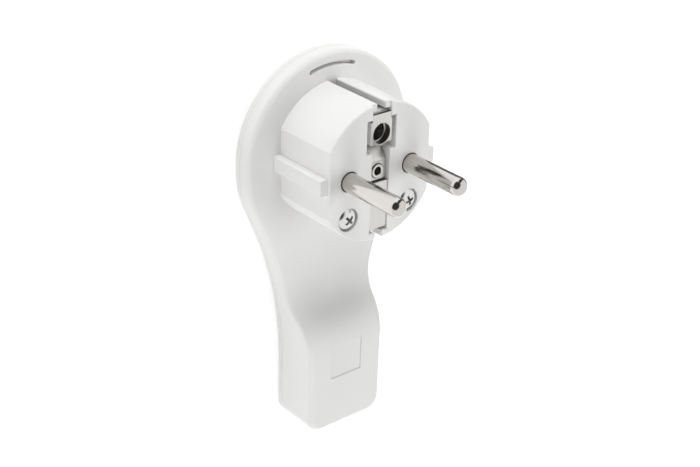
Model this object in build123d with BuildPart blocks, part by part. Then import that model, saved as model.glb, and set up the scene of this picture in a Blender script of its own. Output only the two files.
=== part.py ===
import os
from math import acos, cos, degrees, radians, sin

from build123d import *

# Flat mains plug with a pull handle, lying on its back.
# The origin is on the flat back, on the axis of the round head. +Z runs out along the pins,
# +Y points to the top of the disc, and the handle runs down to -Y. Sizes are in millimetres.

# Contact pins and their terminals
pin_diameter = 4.8
pin_length = 19.0
pin_spacing = 19.0
pin_tip_radius = 2.2
pin_hole_diameter = 5.2
pin_neck_diameter = 4.0
pin_collar_diameter = 7.2
pin_collar_thickness = 2.0
collar_seat_wall = 1.0
terminal_diameter = 6.4
terminal_length = 10.0
wire_hole_diameter = 2.8
wire_hole_height = 6.5
terminal_screw_diameter = 3.0
terminal_screw_length = 4.5
screw_slot_width = 0.7
screw_slot_depth = 0.8
screw_tip_bevel = 0.3

# Earth socket in the face, and the strips beside it
earth_offset = 10.0
earth_hole_diameter = 5.3
earth_bore_diameter = 4.9
sleeve_wall = 0.4
sleeve_length = 14.5
collar_depth = 2.0
sleeve_slit = 0.4
strip_thickness = 0.8
strip_width = 5.3
plate_depth = 0.05
plate_width = 5.7
plate_rise = 0.5
plate_drop = 2.5
cheek_span = 6.3
cheek_depth = 1.5
cheek_setback = 0.7
link_depth = 1.2
link_top = 2.5
link_bottom = 2.4
link_gap = 0.3
link_bend_radius = 1.0
link_slope_drop = 3.0
web_depth = 0.3
link_tongue_length = 5.0
tail_reach = 2.6
bottom_bend_radius = 0.8

# Hollow rivet and the earth screw in its back
rivet_head_diameter = 3.8
rivet_head_height = 0.4
rivet_diameter = 3.2
rivet_bore_diameter = 2.0
rivet_edge_radius = 0.35
rivet_foot_diameter = 4.4
rivet_foot = 0.4
earth_screw_diameter = 1.9
earth_screw_length = 4.5
earth_screw_head_diameter = 5.0
earth_screw_head_height = 1.6

# Round head
channel_bridge = 0.7
channel_depth = 3.2
channel_width = 5.8
channel_mouth = 2.6
channel_lip = 1.8
lip_bevel = 0.3
lip_setback = 0.5
well_width = 9.0
well_clearance = 0.45
well_wall = 1.5
face_slot_width = 5.5
spine_depth = 6.0
head_depth = 18.8
head_edge_radius = 0.4
head_corner_radius = 0.6
face_wall = 3.2
collar_gap = 0.45
rib_width = 4.0
rib_reach = 2.1
rib_setback = 0.6
rib_edge_radius = 0.3

# Disc, neck and handle
disc_rim = 7.2
disc_drop = 2.5
disc_thickness = 5.75
handle_width = 23.5
handle_thickness = 14.2
handle_reach = 76.2
handle_corner_radius = 4.0
neck_angle = 23.5
neck_radius = 100.0
ramp_middle = 44.0
ramp_radius = 13.2
front_edge_radius = 1.15
back_edge_radius = 0.8
wall = 2.0
panel_width = 9.8
panel_middle = 56.7
panel_depth = 0.25

# Rear cover
cover_thickness = 2.0
cover_lip_height = 1.0
cover_lip_width = 1.0
parting_bevel = 0.15
fit_gap = 0.1
slit_width = 1.0
slit_inset = 3.2
slit_half_angle = 17.5
tongue_setback = 1.3
boss_height = 7.0
boss_diameter = 5.0

# Housing screws
screw_edge = 4.0
screw_angle = 46.5
screw_diameter = 3.0
screw_head_diameter = 5.7
screw_head_height = 2.0
screw_head_setback = 0.3
screw_head_gap = 0.15
screw_tip_gap = 1.0
screw_post_diameter = 7.0
cross_length = 3.0
cross_width = 0.9
cross_depth = 1.2

# Cord inlet and clamp
inlet_diameter = 8.0
inlet_bevel = 0.6
cord_diameter = 7.0
clamp_distance = 15.0
clamp_width = 6.0
clamp_thickness = 2.0
clamp_saddle_wall = 1.4
clamp_end_gap = 0.4
clamp_post_diameter = 5.0
clamp_screw_diameter = 2.5
clamp_screw_head_diameter = 4.4
clamp_screw_head_height = 1.5
clamp_screw_length = 7.0
clamp_clearance = 0.2

# Places worked out from the sizes above
sleeve_radius = earth_hole_diameter / 2 + sleeve_wall
well_top = earth_offset + sleeve_radius + well_clearance + strip_thickness / 2
well_bottom = earth_offset - sleeve_radius - strip_thickness - 2 * well_clearance + fit_gap
channel_floor = well_top + channel_bridge
tongue_y = earth_offset - sleeve_radius - fit_gap / 2
hinge_y = link_top - strip_thickness
head_radius = channel_floor + channel_depth
head_flats = pin_spacing + pin_collar_diameter + 2 * (collar_gap + wall)
disc_radius = head_radius + disc_rim
face_z = disc_thickness + head_depth
plate_z = face_z - plate_depth
seat_z = plate_z - strip_thickness
link_z = face_z - link_depth
web_z = face_z - web_depth
inner_face_z = face_z - face_wall
terminal_rear_z = inner_face_z - pin_collar_thickness - terminal_length
boss_top_z = cover_thickness + boss_height
screw_x = (head_radius - screw_edge) * cos(radians(screw_angle))
screw_y = -(head_radius - screw_edge) * sin(radians(screw_angle))
screw_points = [(-screw_x, screw_y), (screw_x, screw_y)]
pin_points = [(-pin_spacing / 2, 0), (pin_spacing / 2, 0)]
ramp_angle = degrees(acos(1 - (handle_thickness - disc_thickness) / (2 * ramp_radius)))
ramp_start = -ramp_middle + ramp_radius * sin(radians(ramp_angle))
side_reach = handle_reach + disc_radius
cord_z = (cover_thickness + handle_thickness - wall) / 2
clamp_y = clamp_distance - handle_reach
clamp_post_x = handle_width / 2 - wall - clamp_post_diameter / 2 - clamp_clearance
clamp_head_z = cover_thickness + cover_lip_height + clamp_clearance
clamp_rear_z = clamp_head_z + clamp_screw_head_height
clamp_front_z = clamp_rear_z + clamp_thickness
clamp_points = [(-clamp_post_x, clamp_y), (clamp_post_x, clamp_y)]
leg_y = -link_bottom - link_gap - strip_thickness
slit_path = CenterArc((0, 0), disc_radius - slit_inset, 90 - slit_half_angle, 2 * slit_half_angle)

os.makedirs("parts", exist_ok=True)


def body_outline(inset):
    """Plan of the disc, the tapering neck and the handle, drawn in by inset."""
    angle = radians(neck_angle)
    radius = disc_radius - inset
    half = handle_width / 2 - inset
    end = inset - handle_reach
    corner = max(handle_corner_radius - inset, fit_gap)
    start = (radius * cos(angle), -radius * sin(angle) - disc_drop)
    shoulder = (half * cos(angle) - radius) / sin(angle) - disc_drop
    with BuildSketch() as outline:
        with BuildLine():
            FilletPolyline(
                start,
                (half, shoulder),
                (half, end),
                (-half, end),
                (-half, shoulder),
                (-start[0], start[1]),
                radius=[neck_radius + inset, corner, corner, neck_radius + inset],
            )
            for side in (-1, 1):
                rise = (side * sin(angle), cos(angle))
                TangentArc((side * start[0], start[1]), (side * radius, -disc_drop), tangent=rise)
                Line((side * radius, -disc_drop), (side * radius, 0))
            CenterArc((0, 0), radius, 0, 180)
        make_face()
    return outline.sketch


def side_profile(inset):
    """Side view of the body: low over the disc, an S-shaped ramp, high over the handle."""
    low = disc_thickness - inset
    high = handle_thickness - inset
    with BuildSketch(Plane.YZ) as profile:
        with BuildLine():
            rise = JernArc((ramp_start, low), (-1, 0), ramp_radius + inset, -ramp_angle)
            crest = JernArc(rise @ 1, rise % 1, ramp_radius - inset, ramp_angle)
            Polyline(
                crest @ 1,
                (-side_reach, high),
                (-side_reach, 0),
                (side_reach, 0),
                (side_reach, low),
                rise @ 0,
            )
        make_face()
    return profile.sketch


def head_plan(inset):
    """Plan of the head: a circle with a flat on each side."""
    with BuildSketch() as plan:
        Circle(head_radius - inset)
        Rectangle(head_flats - 2 * inset, 2 * head_radius, mode=Mode.INTERSECT)
    return plan.sketch


def screw(head_size, head_height, shank_size, shank_length, drive):
    """Screw with its head's underside on the XY plane and its shank running to -Z."""
    with BuildPart() as body:
        with BuildSketch():
            Circle(head_size / 2)
        extrude(amount=head_height)
        if drive == "cross":
            fillet(body.faces().sort_by(Axis.Z)[-1].edges(), radius=head_height / 2)
        else:
            chamfer(body.faces().sort_by(Axis.Z)[-1].edges(), length=screw_tip_bevel)
        with BuildSketch():
            Circle(shank_size / 2)
        extrude(amount=-shank_length)
        chamfer(body.faces().sort_by(Axis.Z)[0].edges(), length=screw_tip_bevel)
        with BuildSketch(Plane.XY.offset(head_height)):
            if drive == "cross":
                Rectangle(cross_length, cross_width)
                Rectangle(cross_width, cross_length)
            else:
                Rectangle(head_size, screw_slot_width)
        extrude(amount=-(cross_depth if drive == "cross" else screw_slot_depth), mode=Mode.SUBTRACT)
    return body.part


outer_outline = body_outline(0)
inner_outline = body_outline(wall)
lip_outline = body_outline(wall + fit_gap)
lip_hollow = body_outline(wall + fit_gap + cover_lip_width)
outer_profile = side_profile(0)
inner_profile = side_profile(wall)
head_outline = head_plan(0)
head_hollow = head_plan(wall)

# Room inside the disc, the neck and the handle
with BuildPart() as body_room:
    with BuildSketch(Plane.XY.offset(cover_thickness)):
        add(inner_outline)
    extrude(amount=handle_thickness)
    extrude(inner_profile, amount=side_reach, both=True, mode=Mode.INTERSECT)

# Room inside the head, clear of the walls behind the two side channels
with BuildPart() as head_room:
    with BuildSketch(Plane.XY.offset(cover_thickness)):
        add(head_hollow)
        for side in (-1, 1):
            with Locations((0, side * (channel_floor - wall + head_radius / 2))):
                Rectangle(channel_width + 2 * wall, head_radius, mode=Mode.SUBTRACT)
    extrude(amount=inner_face_z - cover_thickness)

# Front housing: one hollow moulding with the head, the disc, the neck and the handle
with BuildPart() as front_housing:
    with BuildSketch(Plane.XY.offset(cover_thickness)):
        add(outer_outline)
    extrude(amount=handle_thickness)
    extrude(outer_profile, amount=side_reach, both=True, mode=Mode.INTERSECT)
    sides = front_housing.faces().filter_by(lambda f: abs(f.normal_at().Z) < 0.001)
    rim = [e for e in sides.edges() if e.center().Z > disc_thickness - fit_gap and abs((e % 0.5).Z) < 0.99]
    fillet(rim, radius=front_edge_radius)
    chamfer(front_housing.faces().sort_by(Axis.Z)[0].edges(), length=parting_bevel)

    # Head, with rounded corners beside the flats and a rounded face
    with BuildSketch(Plane.XY.offset(disc_thickness - wall)) as head:
        add(head_outline)
        fillet(head.vertices(), radius=head_corner_radius)
    extrude(amount=head_depth + wall)
    fillet(front_housing.faces().sort_by(Axis.Z)[-1].edges(), radius=head_edge_radius)
    with BuildSketch(Plane.XY.offset(disc_thickness - wall)) as ribs:
        Rectangle(head_flats + 2 * rib_reach, rib_width)
        fillet(ribs.vertices(), radius=rib_edge_radius)
    extrude(amount=head_depth + wall - rib_setback)

    # Side channels, narrowed at the mouth by two thick lips with bevelled edges
    with BuildSketch(Plane.XY.offset(disc_thickness)):
        with BuildLine():
            Polyline(
                (-channel_width / 2, channel_floor),
                (channel_width / 2, channel_floor),
                (channel_width / 2, head_radius - channel_lip),
                (channel_mouth / 2, head_radius - channel_lip),
                (channel_mouth / 2, head_radius - lip_bevel),
                (channel_mouth / 2 + lip_bevel, head_radius),
                (-channel_mouth / 2 - lip_bevel, head_radius),
                (-channel_mouth / 2, head_radius - lip_bevel),
                (-channel_mouth / 2, head_radius - channel_lip),
                (-channel_width / 2, head_radius - channel_lip),
                close=True,
            )
        make_face()
        mirror(about=Plane.XZ)
    extrude(amount=head_depth, mode=Mode.SUBTRACT)

    add(body_room.part, mode=Mode.SUBTRACT)
    add(head_room.part, mode=Mode.SUBTRACT)

    # Inside the head: the earth socket's well, the spine behind the face slot, pin seats and screw posts
    with BuildSketch(Plane.XY.offset(inner_face_z)):
        with Locations((0, (well_top + well_bottom - well_wall) / 2)):
            Rectangle(well_width + 2 * well_wall, well_top - well_bottom + well_wall)
    extrude(amount=-(sleeve_length + plate_depth + well_wall - face_wall))
    with BuildSketch(Plane.XY.offset(inner_face_z)):
        with Locations((0, (well_bottom - channel_floor) / 2)):
            Rectangle(face_slot_width + 2 * well_wall, channel_floor + well_bottom)
    extrude(amount=-(spine_depth - face_wall))
    with BuildSketch(Plane.XY.offset(inner_face_z)):
        with Locations(*pin_points):
            Circle(pin_collar_diameter / 2 + fit_gap + collar_seat_wall)
            Circle(pin_collar_diameter / 2 + fit_gap, mode=Mode.SUBTRACT)
    extrude(amount=-pin_collar_thickness)
    with BuildSketch(Plane.XY.offset(boss_top_z + fit_gap)):
        with Locations(*screw_points):
            Circle(screw_post_diameter / 2)
    extrude(amount=inner_face_z - boss_top_z)
    with BuildSketch(Plane.XY.offset(boss_top_z + fit_gap)):
        with Locations(*screw_points):
            Circle(boss_diameter / 2 + fit_gap)
    extrude(amount=-boss_height, mode=Mode.SUBTRACT)

    # In the handle: two posts and a notched rib that the cord is clamped against
    with BuildSketch(Plane.XY.offset(clamp_front_z)):
        with Locations(*clamp_points):
            Circle(clamp_post_diameter / 2)
    extrude(amount=handle_thickness - wall - clamp_front_z + fit_gap)
    with BuildSketch(Plane.XY.offset(cord_z)):
        with Locations((0, clamp_y)):
            Rectangle(handle_width - 2 * wall, wall)
    extrude(amount=handle_thickness - wall - cord_z + fit_gap)
    with BuildSketch(Plane.XZ.offset(-clamp_y)):
        with Locations((0, cord_z)):
            Circle(cord_diameter / 2)
    extrude(amount=clamp_width, both=True, mode=Mode.SUBTRACT)

    # Openings: pins, screws, earth well, slit, cord inlet, and the bare panel on the handle
    with Locations(*[(x, y, face_z) for x, y in pin_points]):
        Hole(pin_hole_diameter / 2, depth=face_wall)
    with Locations(*[(x, y, face_z) for x, y in screw_points]):
        CounterBoreHole(
            (screw_diameter + screw_head_gap) / 2,
            (screw_head_diameter + 2 * screw_head_gap) / 2,
            screw_head_height + screw_head_setback,
            depth=face_z - boss_top_z,
        )
    with BuildSketch(Plane.XY.offset(face_z)):
        with Locations((0, (well_top + well_bottom) / 2)):
            Rectangle(well_width, well_top - well_bottom)
    extrude(amount=-(sleeve_length + plate_depth), mode=Mode.SUBTRACT)
    with Locations(*[(x, y, clamp_front_z) for x, y in clamp_points]):
        Cylinder(
            (clamp_screw_diameter + fit_gap) / 2,
            clamp_screw_length - clamp_thickness + clamp_clearance,
            align=(Align.CENTER, Align.CENTER, Align.MIN),
            mode=Mode.SUBTRACT,
        )
    with BuildSketch(Plane.XY.offset(disc_thickness)):
        SlotArc(slit_path, slit_width)
    extrude(amount=-wall - fit_gap, mode=Mode.SUBTRACT)
    with BuildSketch(Plane.XZ.offset(handle_reach)):
        with Locations((0, cord_z)):
            Circle(inlet_diameter / 2)
    extrude(amount=-wall - fit_gap, mode=Mode.SUBTRACT)
    inlet_edge = front_housing.edges().filter_by(GeomType.CIRCLE).filter_by(
        lambda e: abs(e.center().Y + handle_reach) < fit_gap and abs(e.radius - inlet_diameter / 2) < fit_gap
    )
    chamfer(inlet_edge, length=inlet_bevel)
    with BuildSketch(Plane.XY.offset(handle_thickness)):
        with Locations((0, -panel_middle)):
            Rectangle(panel_width, panel_width)
    extrude(amount=-panel_depth, mode=Mode.SUBTRACT)

    # Slot across the face for the earth strips: right through the spine below the link, deeper under the hook
    strip_reach = channel_floor + strip_thickness + fit_gap
    slot_steps = [
        (-strip_reach, -link_bottom, face_slot_width, web_depth + strip_thickness),
        (leg_y - fit_gap, -link_bottom + fit_gap, face_slot_width, spine_depth + fit_gap),
        (-link_bottom, hinge_y, face_slot_width, link_depth + strip_thickness),
        (hinge_y, well_bottom, face_slot_width, link_depth + link_slope_drop + strip_thickness),
        (well_top, strip_reach, channel_width, plate_depth + 2 * strip_thickness),
        (strip_reach, head_radius, channel_width, lip_setback),
    ]
    for low_y, high_y, width, depth in slot_steps:
        with BuildSketch(Plane.XY.offset(face_z)):
            with Locations((0, (low_y + high_y) / 2)):
                Rectangle(width, high_y - low_y)
        extrude(amount=-depth, mode=Mode.SUBTRACT)
    with Locations((0, 0, face_z)):
        Hole((rivet_diameter + fit_gap) / 2, depth=spine_depth + fit_gap)
front_housing.part.label = "front_housing"
export_step(front_housing.part, "parts/front_housing.step")

# Rear cover: a flat plate with a locating lip, screw bosses, pin supports and the top tongue
with BuildPart() as rear_cover:
    with BuildSketch():
        add(outer_outline)
    extrude(amount=cover_thickness)
    fillet(rear_cover.faces().sort_by(Axis.Z)[0].edges(), radius=back_edge_radius)
    chamfer(rear_cover.faces().sort_by(Axis.Z)[-1].edges(), length=parting_bevel)
    with BuildSketch(Plane.XY.offset(cover_thickness)):
        add(lip_outline)
        add(lip_hollow, mode=Mode.SUBTRACT)
    extrude(amount=cover_lip_height)
    with BuildSketch(Plane.XY.offset(cover_thickness)):
        with Locations(*screw_points):
            Circle(boss_diameter / 2)
    extrude(amount=boss_height)
    with BuildSketch(Plane.XY.offset(cover_thickness)):
        with Locations(*pin_points):
            Circle(terminal_diameter / 2)
            Circle(terminal_screw_diameter / 2, mode=Mode.SUBTRACT)
    extrude(amount=terminal_rear_z - cover_thickness - fit_gap)
    with BuildSketch(Plane.XY.offset(cover_thickness)):
        SlotArc(slit_path, slit_width - 2 * fit_gap)
    extrude(amount=disc_thickness - tongue_setback - cover_thickness)
    with Locations(*[(x, y, boss_top_z) for x, y in screw_points]):
        Hole((screw_diameter + fit_gap) / 2, depth=boss_height)
rear_cover.part.label = "rear_cover"
export_step(rear_cover.part, "parts/rear_cover.step")

# Contact pins: a domed pin with a thinner neck in the face, a collar behind it and a drilled terminal
for name, (pin_x, pin_y) in zip(("line_pin", "neutral_pin"), pin_points):
    with BuildPart() as pin:
        with BuildSketch(Plane.XY.offset(face_z + fit_gap)):
            with Locations((pin_x, pin_y)):
                Circle(pin_diameter / 2)
        extrude(amount=pin_length - fit_gap)
        fillet(pin.faces().sort_by(Axis.Z)[-1].edges(), radius=pin_tip_radius)
        with BuildSketch(Plane.XY.offset(inner_face_z)):
            with Locations((pin_x, pin_y)):
                Circle(pin_neck_diameter / 2)
        extrude(amount=face_wall + fit_gap)
        with BuildSketch(Plane.XY.offset(inner_face_z)):
            with Locations((pin_x, pin_y)):
                Circle(pin_collar_diameter / 2)
        extrude(amount=-pin_collar_thickness)
        with BuildSketch(Plane.XY.offset(terminal_rear_z)):
            with Locations((pin_x, pin_y)):
                Circle(terminal_diameter / 2)
        extrude(amount=terminal_length)
        with BuildSketch(Plane.XZ.offset(-pin_y)):
            with Locations((pin_x, terminal_rear_z + wire_hole_height)):
                Circle(wire_hole_diameter / 2)
        extrude(amount=terminal_diameter, both=True, mode=Mode.SUBTRACT)
        with BuildSketch(Plane.XY.offset(terminal_rear_z)):
            with Locations((pin_x, pin_y)):
                Circle((terminal_screw_diameter + fit_gap) / 2)
        extrude(amount=wire_hole_height, mode=Mode.SUBTRACT)
    pin.part.label = name
    export_step(pin.part, f"parts/{name}.step")

# Terminal screws: slotted set screws, flush with the back of each terminal
with BuildPart() as terminal_screws:
    with BuildSketch(Plane.XY.offset(terminal_rear_z)):
        with Locations(*pin_points):
            Circle(terminal_screw_diameter / 2)
    extrude(amount=terminal_screw_length)
    with BuildSketch(Plane.XY.offset(terminal_rear_z)):
        with Locations(*pin_points):
            Rectangle(terminal_screw_diameter, screw_slot_width)
    extrude(amount=screw_slot_depth, mode=Mode.SUBTRACT)
terminal_screws.part.label = "terminal_screws"
export_step(terminal_screws.part, "parts/terminal_screws.step")

# Earth sleeve: a plate in the face with the earth hole, two cheeks folded back from it, and a split tube
plate_top = channel_floor + plate_rise
cheek_top = well_top - cheek_setback
plate_foot = earth_offset - plate_drop
with BuildPart() as earth_sleeve:
    with BuildSketch(Plane.XY.offset(seat_z)):
        with Locations((0, (plate_top + plate_foot) / 2)):
            Rectangle(plate_width, plate_top - plate_foot)
        with Locations((0, earth_offset)):
            Circle(sleeve_radius)
    extrude(amount=strip_thickness)
    with BuildSketch(Plane.XY.offset(plate_z)):
        with Locations((0, (cheek_top + plate_foot) / 2)):
            Rectangle(cheek_span, cheek_top - plate_foot)
    extrude(amount=-cheek_depth)
    with BuildSketch(Plane.XY.offset(seat_z)):
        with Locations((0, earth_offset)):
            Circle(sleeve_radius)
    extrude(amount=strip_thickness - sleeve_length)
    with Locations((0, earth_offset, plate_z)):
        CounterBoreHole(earth_bore_diameter / 2, earth_hole_diameter / 2, collar_depth, depth=sleeve_length)
    with BuildSketch(Plane.XY.offset(plate_z - sleeve_length)):
        with Locations((0, earth_offset)):
            Rectangle(2 * head_radius, sleeve_slit)
    extrude(amount=sleeve_length - collar_depth - strip_thickness, mode=Mode.SUBTRACT)
earth_sleeve.part.label = "earth_sleeve"
export_step(earth_sleeve.part, "parts/earth_sleeve.step")

# Earth link: the riveted plate, which slopes back into a tongue under the sleeve
with BuildPart() as earth_link:
    with BuildSketch(Plane.YZ):
        with BuildLine():
            FilletPolyline(
                (-link_bottom, link_z),
                (link_top, link_z),
                (tongue_y, link_z - link_slope_drop),
                (tongue_y, link_z - link_slope_drop - link_tongue_length),
                radius=link_bend_radius,
            )
            offset(amount=strip_thickness, side=Side.RIGHT)
        make_face()
    extrude(amount=strip_width / 2, both=True)
    with Locations((0, 0, link_z)):
        Hole((rivet_diameter + fit_gap) / 2, depth=strip_thickness)
earth_link.part.label = "earth_link"
export_step(earth_link.part, "parts/earth_link.step")

# Top contact: a strip on the floor of the top channel, hooked over the head behind the sleeve's plate
contact_rear_z = disc_thickness + fit_gap
hook_z = seat_z - strip_thickness
with BuildPart() as earth_top_contact:
    with BuildSketch(Plane.YZ):
        with BuildLine():
            Polyline(
                (channel_floor, contact_rear_z),
                (channel_floor, hook_z),
                (earth_offset + sleeve_radius + well_clearance / 2, hook_z),
            )
            offset(amount=strip_thickness, side=Side.RIGHT)
        make_face()
    extrude(amount=strip_width / 2, both=True)
earth_top_contact.part.label = "earth_top_contact"
export_step(earth_top_contact.part, "parts/earth_top_contact.step")

# Bottom contact: a strip in the bottom channel and the face slot, bent back through the spine below the link
tail_z = face_z - spine_depth - strip_thickness
with BuildPart() as earth_bottom_contact:
    with BuildSketch(Plane.YZ):
        with BuildLine():
            Polyline(
                (-channel_floor, contact_rear_z),
                (-channel_floor, web_z - strip_thickness),
                (leg_y, web_z - strip_thickness),
                (leg_y, tail_z),
                (tail_reach, tail_z),
            )
            offset(amount=strip_thickness, side=Side.LEFT, kind=Kind.INTERSECTION)
        make_face()
    extrude(amount=strip_width / 2, both=True)
    top_corners = earth_bottom_contact.edges().filter_by(Axis.X).group_by(Axis.Z)[-1]
    fillet(top_corners.sort_by(Axis.Y)[0], radius=bottom_bend_radius)
    with Locations((0, 0, tail_z + strip_thickness)):
        Hole((rivet_diameter + fit_gap) / 2, depth=strip_thickness)
earth_bottom_contact.part.label = "earth_bottom_contact"
export_step(earth_bottom_contact.part, "parts/earth_bottom_contact.step")

# Hollow rivet through the link, the spine and the bottom contact's tail, spread at the back
with BuildPart() as earth_rivet:
    with BuildSketch(Plane.XY.offset(link_z)):
        Circle(rivet_head_diameter / 2)
    extrude(amount=rivet_head_height)
    with BuildSketch(Plane.XY.offset(link_z)):
        Circle(rivet_diameter / 2)
    extrude(amount=tail_z - link_z)
    with BuildSketch(Plane.XY.offset(tail_z)):
        Circle(rivet_foot_diameter / 2)
    extrude(amount=-rivet_foot)
    with Locations((0, 0, face_z)):
        Hole(rivet_bore_diameter / 2, depth=face_z - tail_z + rivet_foot)
    fillet(earth_rivet.faces().sort_by(Axis.Z)[-1].edges(), radius=rivet_edge_radius)
earth_rivet.part.label = "earth_rivet"
export_step(earth_rivet.part, "parts/earth_rivet.step")

# Earth screw, driven into the hollow rivet from behind
with BuildPart() as earth_screw:
    add(
        screw(
            earth_screw_head_diameter,
            earth_screw_head_height,
            earth_screw_diameter,
            earth_screw_length,
            "slot",
        ).moved(Location((0, 0, tail_z - rivet_foot), (180, 0, 0)))
    )
earth_screw.part.label = "earth_screw"
export_step(earth_screw.part, "parts/earth_screw.step")

# Housing screws, through the face into the bosses of the rear cover
screw_seat_z = face_z - screw_head_setback - screw_head_height
housing_screw = screw(
    screw_head_diameter,
    screw_head_height,
    screw_diameter,
    screw_seat_z - cover_thickness - screw_tip_gap,
    "cross",
)
with BuildPart() as housing_screws:
    for x, y in screw_points:
        add(housing_screw.moved(Location((x, y, screw_seat_z))))
housing_screws.part.label = "housing_screws"
export_step(housing_screws.part, "parts/housing_screws.step")

# Cord clamp: a bar on the two posts, bowed out round the cord
with BuildPart() as cord_clamp:
    with BuildSketch(Plane.XZ.offset(-clamp_y)):
        with Locations((0, cord_z)):
            Circle(cord_diameter / 2 + clamp_saddle_wall)
        with Locations((0, (clamp_rear_z + clamp_front_z) / 2)):
            Rectangle(handle_width - 2 * (wall + clamp_end_gap), clamp_thickness)
        with Locations((0, cord_z)):
            Circle(cord_diameter / 2, mode=Mode.SUBTRACT)
        with Locations((0, clamp_front_z)):
            Rectangle(handle_width, handle_thickness, align=(Align.CENTER, Align.MIN), mode=Mode.SUBTRACT)
        with Locations((0, cover_thickness + clamp_clearance)):
            Rectangle(handle_width, handle_thickness, align=(Align.CENTER, Align.MAX), mode=Mode.SUBTRACT)
    extrude(amount=clamp_width / 2, both=True)
    with Locations(*[(x, y, clamp_front_z) for x, y in clamp_points]):
        Hole((clamp_screw_diameter + fit_gap) / 2, depth=clamp_thickness)
    with BuildSketch(Plane.XY.offset(clamp_rear_z)):
        with Locations(*clamp_points):
            Circle(clamp_screw_head_diameter / 2 + clamp_clearance)
    extrude(amount=-clamp_rear_z, mode=Mode.SUBTRACT)
cord_clamp.part.label = "cord_clamp"
export_step(cord_clamp.part, "parts/cord_clamp.step")

# Clamp screws, driven into the posts from behind
clamp_screw = screw(
    clamp_screw_head_diameter,
    clamp_screw_head_height,
    clamp_screw_diameter,
    clamp_screw_length,
    "slot",
)
with BuildPart() as clamp_screws:
    for x, y in clamp_points:
        add(clamp_screw.moved(Location((x, y, clamp_rear_z), (180, 0, 0))))
clamp_screws.part.label = "clamp_screws"
export_step(clamp_screws.part, "parts/clamp_screws.step")
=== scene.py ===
from math import asin, cos, radians, sin

import bpy
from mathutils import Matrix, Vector


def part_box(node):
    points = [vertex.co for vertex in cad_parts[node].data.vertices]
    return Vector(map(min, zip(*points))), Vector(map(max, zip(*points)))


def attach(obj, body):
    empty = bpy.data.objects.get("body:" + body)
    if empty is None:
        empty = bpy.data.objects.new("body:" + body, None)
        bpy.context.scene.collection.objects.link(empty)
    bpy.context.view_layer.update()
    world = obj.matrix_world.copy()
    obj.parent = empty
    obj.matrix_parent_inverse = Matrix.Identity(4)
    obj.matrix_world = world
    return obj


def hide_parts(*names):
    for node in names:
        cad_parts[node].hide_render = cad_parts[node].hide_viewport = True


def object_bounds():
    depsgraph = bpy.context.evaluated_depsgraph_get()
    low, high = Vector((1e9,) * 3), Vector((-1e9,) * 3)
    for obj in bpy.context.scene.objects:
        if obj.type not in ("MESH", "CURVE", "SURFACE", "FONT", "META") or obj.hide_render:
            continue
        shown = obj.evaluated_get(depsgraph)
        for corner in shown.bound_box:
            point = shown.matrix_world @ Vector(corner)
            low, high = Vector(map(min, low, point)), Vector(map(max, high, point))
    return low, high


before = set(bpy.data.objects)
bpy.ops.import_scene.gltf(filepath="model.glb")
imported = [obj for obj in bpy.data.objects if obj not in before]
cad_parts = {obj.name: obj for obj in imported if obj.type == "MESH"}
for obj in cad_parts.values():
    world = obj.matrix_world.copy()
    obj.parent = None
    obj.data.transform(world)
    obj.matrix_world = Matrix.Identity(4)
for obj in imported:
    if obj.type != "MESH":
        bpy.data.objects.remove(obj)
cad_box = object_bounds()


# Front housing, rear cover and cord clamp: injection mouldings in white thermoplastic.
# The mould leaves a soft sheen, a very fine grain, slightly uneven walls and small edge radii.
class Wire:
    """An output socket in a node tree. Arithmetic and comparison on it add Math nodes."""

    def __init__(self, tree, socket):
        self.tree = tree
        self.socket = socket

    def node(self, kind, settings, inputs, output=0):
        """Adds a node: its settings first, then the value or link of each input socket."""
        node = self.tree.nodes.new("ShaderNode" + kind)
        for name, value in settings.items():
            setattr(node, name, value)
        for name, value in inputs.items():
            if isinstance(value, Wire):
                self.tree.links.new(value.socket, node.inputs[name])
            else:
                node.inputs[name].default_value = value
        return Wire(self.tree, node.outputs[output]) if node.outputs else None

    def into(self, shader, name):
        """Links this socket to an input of a shader."""
        self.tree.links.new(self.socket, shader.inputs[name])

    def math(self, operation, *values):
        return self.node("Math", {"operation": operation}, dict(enumerate(values)))

    def vector(self, operation, *values, output="Vector"):
        """A Vector Math node on this vector."""
        return self.node("VectorMath", {"operation": operation}, dict(enumerate((self, *values))), output)

    def axis(self, name):
        """One coordinate of this vector."""
        return self.node("SeparateXYZ", {}, {"Vector": self}, name)

    def ramp(self, start, end, interpolation="LINEAR"):
        """Rises from 0 at the start to 1 at the end, and stays level past them."""
        return self.node(
            "MapRange",
            {"interpolation_type": interpolation},
            {"Value": self, "From Min": start, "From Max": end},
        )

    def mix(self, first, second):
        """The first colour where this is 0, and the second where it is 1."""
        return self.node("Mix", {"data_type": "RGBA"}, {0: self, 6: first, 7: second}, 2)

    def __add__(self, other):
        return self.math("ADD", self, other)

    def __radd__(self, other):
        return self.math("ADD", other, self)

    def __sub__(self, other):
        return self.math("SUBTRACT", self, other)

    def __rsub__(self, other):
        return self.math("SUBTRACT", other, self)

    def __mul__(self, other):
        return self.math("MULTIPLY", self, other)

    def __rmul__(self, other):
        return self.math("MULTIPLY", other, self)

    def __abs__(self):
        return self.math("ABSOLUTE", self)

    def __lt__(self, other):
        return self.math("LESS_THAN", self, other)

    def __gt__(self, other):
        return self.math("GREATER_THAN", self, other)


def new_finish(name):
    """A new material with its Principled shader and the wire of its Object coordinates."""
    material = bpy.data.materials.new(name)
    material.use_nodes = True
    tree = material.node_tree
    place = Wire(tree, tree.nodes.new("ShaderNodeTexCoord").outputs["Object"])
    return material, tree.nodes["Principled BSDF"], place


def dress(material, *nodes):
    """Gives CAD nodes a material in place of the plain one they came with."""
    for node in nodes:
        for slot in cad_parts[node].material_slots:
            slot.material = material


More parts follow.
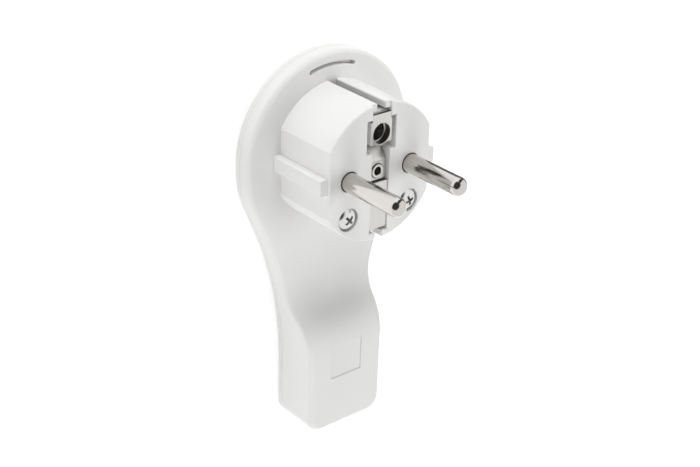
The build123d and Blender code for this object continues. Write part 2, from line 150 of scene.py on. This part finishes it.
plastic_white = (0.86, 0.86, 0.85, 1.0)
plastic_shade = (0.83, 0.825, 0.81, 1.0)
plastic_grain_size = 0.00012
plastic_grain_depth = 0.000004
plastic_wave_size = 0.009
plastic_wave_depth = 0.00003
plastic_edge_radius = 0.00022
plastic_roughness = 0.34
plastic_wave_roughness = 0.08
plastic_grain_roughness = 0.04
plastic_index = 1.5

plastic, shader, place = new_finish("white_moulding")
grain = place.node("TexNoise", {}, {"Vector": place, "Scale": 1 / plastic_grain_size, "Detail": 2.0})
wave = place.node("TexNoise", {}, {"Vector": place, "Scale": 1 / plastic_wave_size, "Detail": 2.0})
colour = wave.mix(plastic_white, plastic_shade)
colour.into(shader, "Base Color")
roughness = plastic_roughness + plastic_wave_roughness * wave + plastic_grain_roughness * grain
roughness.into(shader, "Roughness")
edges = place.node("Bevel", {"samples": 8}, {"Radius": plastic_edge_radius})
waved = place.node(
    "Bump", {}, {"Strength": 1.0, "Distance": plastic_wave_depth, "Height": wave, "Normal": edges}
)
grained = place.node(
    "Bump", {}, {"Strength": 1.0, "Distance": plastic_grain_depth, "Height": grain, "Normal": waved}
)
grained.into(shader, "Normal")
shader.inputs["IOR"].default_value = plastic_index
dress(plastic, "front_housing", "rear_cover", "cord_clamp")

# Line and neutral pins: turned brass, nickel plated and polished.
# Fine turning rings run round them, and plugging in leaves faint scratches along them.
nickel_bright = (0.67, 0.655, 0.63, 1.0)
nickel_dull = (0.59, 0.565, 0.53, 1.0)
turning_pitch = 0.00018
turning_depth = 0.000002
scratch_width = 0.00025
scratch_length = 0.006
pin_roughness = 0.06
scratch_roughness = 0.1

pin_nickel, shader, place = new_finish("polished_nickel")
turning = place.node(
    "TexNoise",
    {"noise_dimensions": "1D"},
    {"W": place.axis("Z"), "Scale": 1 / turning_pitch, "Detail": 1.0},
)
stretched = place.node(
    "Mapping", {}, {"Vector": place, "Scale": (1 / scratch_width, 1 / scratch_width, 1 / scratch_length)}
)
scratches = place.node("TexNoise", {}, {"Vector": stretched, "Scale": 1.0, "Detail": 2.0})
colour = scratches.mix(nickel_bright, nickel_dull)
colour.into(shader, "Base Color")
roughness = pin_roughness + scratch_roughness * scratches
roughness.into(shader, "Roughness")
turned = place.node("Bump", {}, {"Strength": 1.0, "Distance": turning_depth, "Height": turning})
turned.into(shader, "Normal")
shader.inputs["Metallic"].default_value = 1.0
dress(pin_nickel, "line_pin", "neutral_pin")

# Earth sleeve, link, side contacts and hollow rivet: stamped brass strip, nickel plated.
# Rolling leaves fine lines along the strip. The sleeve's cheeks and the top contact's bend have
# painted light: pale, matt and not metallic. The rivet's bore and rim, the link's slope and the
# edge above the earth hole have painted shade.
strip_bright = (0.74, 0.73, 0.715, 1.0)
strip_dull = (0.64, 0.625, 0.60, 1.0)
rolling_width = 0.0002
rolling_length = 0.008
rolling_depth = 0.000003
strip_edge_radius = 0.00012
strip_roughness = 0.22
rolling_roughness = 0.16

# Painted shade: this near-black goes on the rivet's bore and rim, the link's slope and the edge above the
# earth hole.
painted_shade_colour = (0.03, 0.025, 0.02, 1.0)
rivet_bore_edge = (0.00106, 0.00098)
rivet_rim_inside = (0.00165, 0.0018)
rivet_rim_outside = (0.00195, 0.00205)
rivet_rim_shade = 0.7
edge_line = 0.00002
edge_shade = 0.9
link_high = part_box("earth_link")[1]
slope_start = 0.0026
slope_end = link_high.y + edge_line
slope_depth = 0.0024
slope_shade = 0.9

# Painted light: the sleeve's cheeks and the top contact's bend are painted pale white, matt and not
# metallic, so they look lit.
painted_light_white = (0.95, 0.95, 0.94, 1.0)
painted_light_roughness = 0.3
plate_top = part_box("earth_sleeve")[1].y
cheek_edge = (0.0031, 0.00313)
bend_above_plate = 0.0002
bend_length = 0.0024
bend_fade = 0.0004
bend_light = 0.4

strip_nickel, shader, place = new_finish("rolled_nickel_strip")
along = place.axis("Y")
height = place.axis("Z")
stretched = place.node(
    "Mapping", {}, {"Vector": place, "Scale": (1 / rolling_width, 1 / rolling_length, 1 / rolling_length)}
)
rolling = place.node("TexNoise", {}, {"Vector": stretched, "Scale": 1.0, "Detail": 3.0})

from_rivet = place.vector("MULTIPLY", (1, 1, 0)).vector("LENGTH", output="Value")
in_bore = from_rivet.ramp(*rivet_bore_edge)
on_rim = from_rivet.ramp(*rivet_rim_inside) - from_rivet.ramp(*rivet_rim_outside)
up_slope = along.ramp(slope_start, slope_end) * (along < slope_end)
down_slope = height.ramp(link_high.z, link_high.z - slope_depth)
on_edge = abs(along - plate_top).ramp(2 * edge_line, edge_line)
# All the painted shade on the strip: bore, rivet rim, link's slope and the plate's top edge.
painted_shade = in_bore + rivet_rim_shade * on_rim + slope_shade * up_slope * down_slope + edge_shade * on_edge

on_cheek = abs(place.axis("X")).ramp(*cheek_edge)
bend_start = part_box("earth_top_contact")[1].z - bend_length
on_bend = height.ramp(bend_start, bend_start + bend_fade) * (along > plate_top + bend_above_plate)
# Where the painted light goes: the cheeks in full, the bend in part.
painted_light = place.math("MAXIMUM", on_cheek, bend_light * on_bend)

colour = painted_light.mix(painted_shade.mix(rolling.mix(strip_bright, strip_dull), painted_shade_colour), painted_light_white)
colour.into(shader, "Base Color")
metallic = 1.0 - painted_light
metallic.into(shader, "Metallic")
roughness = strip_roughness + rolling_roughness * rolling + painted_light_roughness * painted_light
roughness.into(shader, "Roughness")
edges = place.node("Bevel", {"samples": 6}, {"Radius": strip_edge_radius})
rolled = place.node(
    "Bump", {}, {"Strength": 1.0, "Distance": rolling_depth, "Height": rolling, "Normal": edges}
)
rolled.into(shader, "Normal")
dress(strip_nickel, "earth_sleeve", "earth_link", "earth_top_contact", "earth_bottom_contact", "earth_rivet")

# Terminal, earth and clamp screws: cut from steel rod and bright zinc plated.
# The plating is slightly cloudy, and the slots' edges are a little rounded.
zinc_bright = (0.82, 0.82, 0.81, 1.0)
zinc_dull = (0.66, 0.66, 0.65, 1.0)
zinc_cloud_size = 0.0008
zinc_edge_radius = 0.0001
zinc_roughness = 0.08
zinc_cloud_roughness = 0.14

screw_zinc, shader, place = new_finish("bright_zinc")
cloud = place.node("TexNoise", {}, {"Vector": place, "Scale": 1 / zinc_cloud_size, "Detail": 3.0})
colour = cloud.mix(zinc_bright, zinc_dull)
colour.into(shader, "Base Color")
roughness = zinc_roughness + zinc_cloud_roughness * cloud
roughness.into(shader, "Roughness")
edges = place.node("Bevel", {"samples": 6}, {"Radius": zinc_edge_radius})
edges.into(shader, "Normal")
shader.inputs["Metallic"].default_value = 1.0
dress(screw_zinc, "terminal_screws", "earth_screw", "clamp_screws")

# Housing screws: domed heads struck with a tapered cross recess, on turned shanks, zinc plated.
# They are driven until their heads seat in the counterbores, so their crosses lie at odd angles.
head_radius = 0.0029
head_side = 0.00165
head_proud = 0.00085
dome_rise = 0.0012
dome_rings = 12
shank_radius = 0.0015
shank_bevel = 0.0003
screw_facets = 64
smooth_angle = 30.0
cross_length = 0.0033
cross_width = 0.0009
cross_depth = 0.0017
cross_taper = (0.8, 0.75)
cross_turns = (43.0, 18.0)

screw_low, screw_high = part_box("housing_screws")
screw_reach = (screw_high.y - screw_low.y) / 2
screw_y = (screw_low.y + screw_high.y) / 2
screw_top = screw_high.z + head_proud
seat = screw_top - head_side - dome_rise
outline = [
    (shank_radius - shank_bevel, screw_low.z),
    (shank_radius, screw_low.z + shank_bevel),
    (shank_radius, seat),
    (head_radius, seat),
]
dome_radius = (head_radius**2 + dome_rise**2) / (2 * dome_rise)
dome_angle = asin(head_radius / dome_radius)
for step in range(dome_rings):
    angle = dome_angle * (1 - step / dome_rings)
    lift = dome_radius * (cos(angle) - cos(dome_angle))
    outline.append((dome_radius * sin(angle), seat + head_side + lift))

bpy.ops.object.select_all(action="DESELECT")
ring_radius, ring_z = outline[0]
bpy.ops.mesh.primitive_circle_add(
    vertices=screw_facets, radius=ring_radius, fill_type="NGON", location=(0, 0, ring_z)
)
screws = bpy.context.object
screws.name = "cross_head_screws"
bpy.ops.object.transform_apply()
bpy.ops.object.mode_set(mode="EDIT")
bpy.ops.mesh.select_all(action="SELECT")
for next_radius, next_z in outline[1:]:
    bpy.ops.mesh.extrude_edges_move(TRANSFORM_OT_translate={"value": (0, 0, next_z - ring_z)})
    spread = next_radius / ring_radius
    bpy.ops.transform.resize(value=(spread, spread, 1), center_override=(0, 0, next_z))
    ring_radius, ring_z = next_radius, next_z
bpy.ops.mesh.edge_face_add()
bpy.ops.mesh.select_all(action="SELECT")
bpy.ops.mesh.normals_make_consistent(inside=False)
bpy.ops.object.mode_set(mode="OBJECT")

for length, width, taper in (
    (cross_length, cross_width, cross_taper),
    (cross_width, cross_length, cross_taper[::-1]),
):
    bpy.ops.object.select_all(action="DESELECT")
    bpy.ops.mesh.primitive_cube_add(size=1, location=(0, 0, screw_top))
    punch = bpy.context.object
    punch.scale = (length, width, 2 * cross_depth)
    bpy.ops.object.transform_apply()
    for face in punch.data.polygons:
        face.select = face.normal.z < -0.5
    bpy.ops.object.mode_set(mode="EDIT")
    bpy.ops.mesh.select_mode(type="FACE")
    bpy.ops.transform.resize(value=(*taper, 1), center_override=(0, 0, screw_top - cross_depth))
    bpy.ops.object.mode_set(mode="OBJECT")
    bpy.context.view_layer.objects.active = screws
    strike = screws.modifiers.new("strike", "BOOLEAN")
    strike.operation = "DIFFERENCE"
    strike.object = punch
    bpy.ops.object.modifier_apply(modifier=strike.name)
    bpy.data.objects.remove(punch)

bpy.ops.object.select_all(action="DESELECT")
screws.select_set(True)
bpy.context.view_layer.objects.active = screws
bpy.ops.object.shade_smooth_by_angle(angle=radians(smooth_angle))
bpy.ops.object.duplicate()
second = bpy.context.object
for screw, screw_x, cross_turn in zip(
    (screws, second), (screw_low.x + screw_reach, screw_high.x - screw_reach), cross_turns
):
    screw.location = (screw_x, screw_y, 0)
    screw.rotation_euler.z = radians(cross_turn)
    screw.select_set(True)
bpy.context.view_layer.objects.active = screws
bpy.ops.object.join()
bpy.ops.object.transform_apply()
screws.data.materials.clear()
screws.data.materials.append(screw_zinc)
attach(screws, "root")
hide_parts("housing_screws")


# Floor: a round white sheet that the plug lies on. The camera and the metal see it lifted to
# white, and it still takes the plug's shadow. To the right of the pins, the sheet is painted
# black for mirrored rays only, a painted dark reflection that shows only in the metal.
def seen_rays(tree):
    """The wires of the camera's own rays and of those that metal and glass mirror."""
    light_path = tree.nodes.new("ShaderNodeLightPath").outputs
    straight = Wire(tree, light_path["Is Camera Ray"])
    mirrored = Wire(tree, light_path["Is Glossy Ray"]) + Wire(tree, light_path["Is Transmission Ray"])
    return straight, mirrored


floor_radius = 0.5
floor_facets = 128
floor_white = (0.9, 0.9, 0.9, 1.0)
floor_lift = 0.4
# Painted dark reflection: a wedge of the sheet right of the pins turns black to mirrored rays only.
painted_reflection_black = (0, 0, 0, 1)
painted_reflection_from = (0.0095, 0, 0)
painted_reflection_direction = (0.951, 0.309, 0)
painted_reflection_edge = (0.82, 0.88)
painted_reflection_depth = 0.85
lamp_white = (1, 1, 1, 1)

bpy.ops.object.select_all(action="DESELECT")
bpy.ops.mesh.primitive_circle_add(
    vertices=floor_facets, radius=floor_radius, fill_type="NGON", location=(0, 0, cad_box[0].z)
)
floor = bpy.context.object
floor.name = "floor"
paper = bpy.data.materials.new("floor_paper")
paper.use_nodes = True
paper.node_tree.nodes.clear()
straight, mirrored = seen_rays(paper.node_tree)
place = Wire(paper.node_tree, paper.node_tree.nodes.new("ShaderNodeTexCoord").outputs["Object"])
bearing = place.vector("SUBTRACT", painted_reflection_from).vector("NORMALIZE")
toward_painted_reflection = bearing.vector("DOT_PRODUCT", painted_reflection_direction, output="Value")
in_painted_reflection = toward_painted_reflection.ramp(*painted_reflection_edge)
matte = place.node("BsdfDiffuse", {}, {"Color": floor_white})
glow = place.node("Emission", {}, {"Color": lamp_white, "Strength": floor_lift * (straight + mirrored)})
lit = place.node("AddShader", {}, {0: matte, 1: glow})
painted_reflection_dark = place.node("BsdfDiffuse", {}, {"Color": painted_reflection_black})
# Mirrored rays in the wedge see black, a painted dark reflection; the camera and diffuse light see the lit
# sheet.
sheet = place.node("MixShader", {}, {0: painted_reflection_depth * in_painted_reflection * mirrored, 1: lit, 2: painted_reflection_dark})
place.node("OutputMaterial", {}, {"Surface": sheet})
floor.data.materials.append(paper)

# Studio: five round soft boxes in an even pale surround, which looks white behind the plug.
# The metal doesn't mirror the boxes. It mirrors the white room, with its dark end past the
# disc's top left and a dark gap that runs from there to the right.
surround_level = 0.25
dark_end_direction = (-0.654, 0.526, 0.545)
dark_end_edge = (0.62, 0.8)
dark_gap_across = (-0.529, 0.4254, -0.7352)
dark_gap_along = (0.627, 0.78, 0)
dark_gap_edge = (0.3, 0.15)
dark_depth = 0.95
lamp_size = 0.45
lamp_aim = Vector((0, -0.02, 0.015))
lamps = (
    ("top_softbox", (0, 0.62, 0.128), 2.78),
    ("left_fill", (-0.64, -0.02, 0.128), 1.24),
    ("lower_left_fill", (-0.453, -0.473, 0.128), 0.73),
    ("low_bounce", (0, -0.571, 0.359), 1.51),
    ("right_softbox", (0.344, -0.02, 0.566), 1.47),
)

world = bpy.data.worlds.new("surround")
bpy.context.scene.world = world
world.use_nodes = True
world.node_tree.nodes.clear()
straight, mirrored = seen_rays(world.node_tree)
direction = Wire(world.node_tree, world.node_tree.nodes.new("ShaderNodeTexCoord").outputs["Generated"])
toward_end = direction.vector("DOT_PRODUCT", dark_end_direction, output="Value")
off_gap = direction.vector("DOT_PRODUCT", dark_gap_across, output="Value")
along_gap = direction.vector("DOT_PRODUCT", dark_gap_along, output="Value")
in_end = toward_end.ramp(*dark_end_edge, "SMOOTHSTEP")
in_gap = abs(off_gap).ramp(*dark_gap_edge, "SMOOTHSTEP") * (along_gap > 0)
mirrored_level = 1.0 - dark_depth * direction.math("MAXIMUM", in_end, in_gap)
level = surround_level + (1.0 - surround_level) * straight + mirrored * (mirrored_level - surround_level)
sky = direction.node("Background", {}, {"Color": lamp_white, "Strength": level})
direction.node("OutputWorld", {}, {"Surface": sky})

for lamp_name, lamp_place, lamp_power in lamps:
    lamp_turn = (lamp_aim - Vector(lamp_place)).to_track_quat("-Z", "Y").to_euler()
    bpy.ops.object.light_add(type="AREA", location=lamp_place, rotation=lamp_turn)
    lamp = bpy.context.object
    lamp.name = lamp_name
    lamp.data.shape = "DISK"
    lamp.data.size = lamp_size
    lamp.data.energy = lamp_power
    lamp.visible_glossy = False

# Camera: above the disc's top left, looking down along the pins, with the disc's top up.
# A long lens keeps the handle's sides nearly parallel.
camera_lens = 76.0
camera_place = (-0.212958, 0.144941, 0.265634)
camera_turn = (-27.9651, -39.4456, 2.0231)
camera_nearest = 0.001

bpy.ops.object.camera_add(location=camera_place, rotation=[radians(angle) for angle in camera_turn])
camera = bpy.context.object
camera.name = "camera"
camera.data.lens = camera_lens
camera.data.clip_start = camera_nearest
bpy.context.scene.camera = camera
bpy.context.scene.view_settings.view_transform = "Standard"
